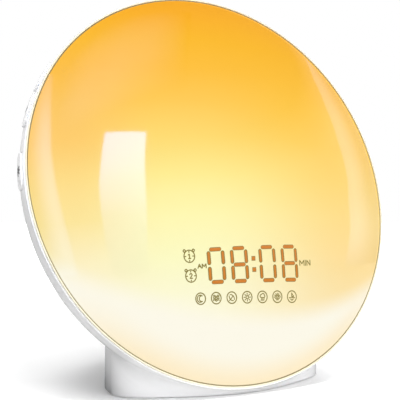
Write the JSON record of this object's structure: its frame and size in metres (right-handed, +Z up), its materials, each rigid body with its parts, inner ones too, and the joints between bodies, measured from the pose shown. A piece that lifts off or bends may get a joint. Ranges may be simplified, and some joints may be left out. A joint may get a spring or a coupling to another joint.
{
  "type": "sunrise alarm clock",
  "caption": "Bedside sunrise lamp and alarm clock: a shallow glowing dome with a clock display, leaning back on an oval foot, with press keys round its side wall.",
  "frame": {"origin": "middle of the bounding box's underside, on the table", "axes": "+X to the clock's right as a person faces it, +Y to its back, +Z up"},
  "size_m": [0.1762, 0.0801, 0.1711],
  "materials": {
    "housing": "white glossy ABS",
    "dome": "translucent diffusing acrylic, glossy outside, lit from behind",
    "gasket": "dark olive, matte",
    "ring": "cream, light catching",
    "key": "white glossy ABS",
    "base": "white ABS, fine texture",
    "foot": "grey silicone",
    "tray": "white reflector plastic",
    "light_board": "white solder mask",
    "chip": "LED encapsulant over a white case",
    "board": "green solder mask",
    "black_part": "moulded epoxy",
    "guide": "amber light guide",
    "film": "diffusing film",
    "nylon": "natural nylon",
    "can": "sleeved can",
    "shield": "tinned steel",
    "cell": "bright nickel",
    "contact": "nickel-plated spring bronze",
    "screw": "zinc plated",
    "magnet": "ferrite between plated steel plates",
    "basket": "black painted steel",
    "paper": "black paper cone",
    "surround": "black rubber roll",
    "switch": "moulded nylon with a steel cover",
    "flex": "polyimide film",
    "lead": "PVC insulation",
    "pin": "nickel plated"
  },
  "bodies": {
    "clock": {"rear_housing": "housing", "front_dome": "dome", "dome_gasket": "gasket", "dome_ring": "ring", "base_plate": "base", "base_screws": "screw", "rubber_feet": "foot", "coin_cell": "cell", "cell_contacts": "contact", "reflector_tray": "tray", "tray_screws": "screw", "light_board": "light_board", "light_chips": "chip", "light_leads": "lead", "display_film": "film", "display_light_box": "black_part", "display_guides": "guide", "display_board": "board", "display_chips": "black_part", "display_posts": "nylon", "display_ribbon": "flex", "main_board": "board", "main_board_chips": "black_part", "capacitors": "can", "radio_module": "shield", "board_screws": "screw", "supply_jack": "black_part", "supply_jack_pin": "pin", "reset_switch": "switch", "left_key_flex": "flex", "right_key_flex": "flex", "left_key_switches": "switch", "right_key_switches": "switch", "key_leads": "lead", "speaker_frame": "basket", "speaker_magnet": "magnet", "speaker_cone": "paper", "speaker_surround": "surround", "speaker_screws": "screw", "speaker_leads": "lead"},
    "left_key_low": {"left_key_low": "key"},
    "left_key_middle": {"left_key_middle": "key"},
    "left_key_top": {"left_key_top": "key"},
    "right_key_low": {"right_key_low": "key"},
    "right_key_middle": {"right_key_middle": "key"},
    "right_key_top": {"right_key_top": "key"},
    "reset_button": {"reset_button": "key"},
    "battery_cap": {"battery_cap": "base"}
  },
  "joints": [
    {"name": "left_key_low_press", "type": "slide", "parent": "clock", "child": "left_key_low", "axis": [0.9994, -0.0093, -0.0336], "range_m": [0, 0.0008], "stiffness_N_per_m": 1500},
    {"name": "left_key_middle_press", "type": "slide", "parent": "clock", "child": "left_key_middle", "axis": [0.9455, -0.0865, -0.3139], "range_m": [0, 0.0008], "stiffness_N_per_m": 1500},
    {"name": "left_key_top_press", "type": "slide", "parent": "clock", "child": "left_key_top", "axis": [0.8669, -0.1324, -0.4806], "range_m": [0, 0.0008], "stiffness_N_per_m": 1500},
    {"name": "right_key_low_press", "type": "slide", "parent": "clock", "child": "right_key_low", "axis": [-0.9994, -0.0093, -0.0336], "range_m": [0, 0.0008], "stiffness_N_per_m": 1500},
    {"name": "right_key_middle_press", "type": "slide", "parent": "clock", "child": "right_key_middle", "axis": [-0.9455, -0.0865, -0.3139], "range_m": [0, 0.0008], "stiffness_N_per_m": 1500},
    {"name": "right_key_top_press", "type": "slide", "parent": "clock", "child": "right_key_top", "axis": [-0.8669, -0.1324, -0.4806], "range_m": [0, 0.0008], "stiffness_N_per_m": 1500},
    {"name": "reset_press", "type": "slide", "parent": "clock", "child": "reset_button", "axis": [0, -1, 0], "range_m": [0, 0.0006], "stiffness_N_per_m": 1500},
    {"name": "battery_cap_turn", "type": "hinge", "parent": "clock", "child": "battery_cap", "pos_m": [0, -0.001, 0.002], "axis": [0, 0, -1], "range_deg": [0, 60]}
  ]
}
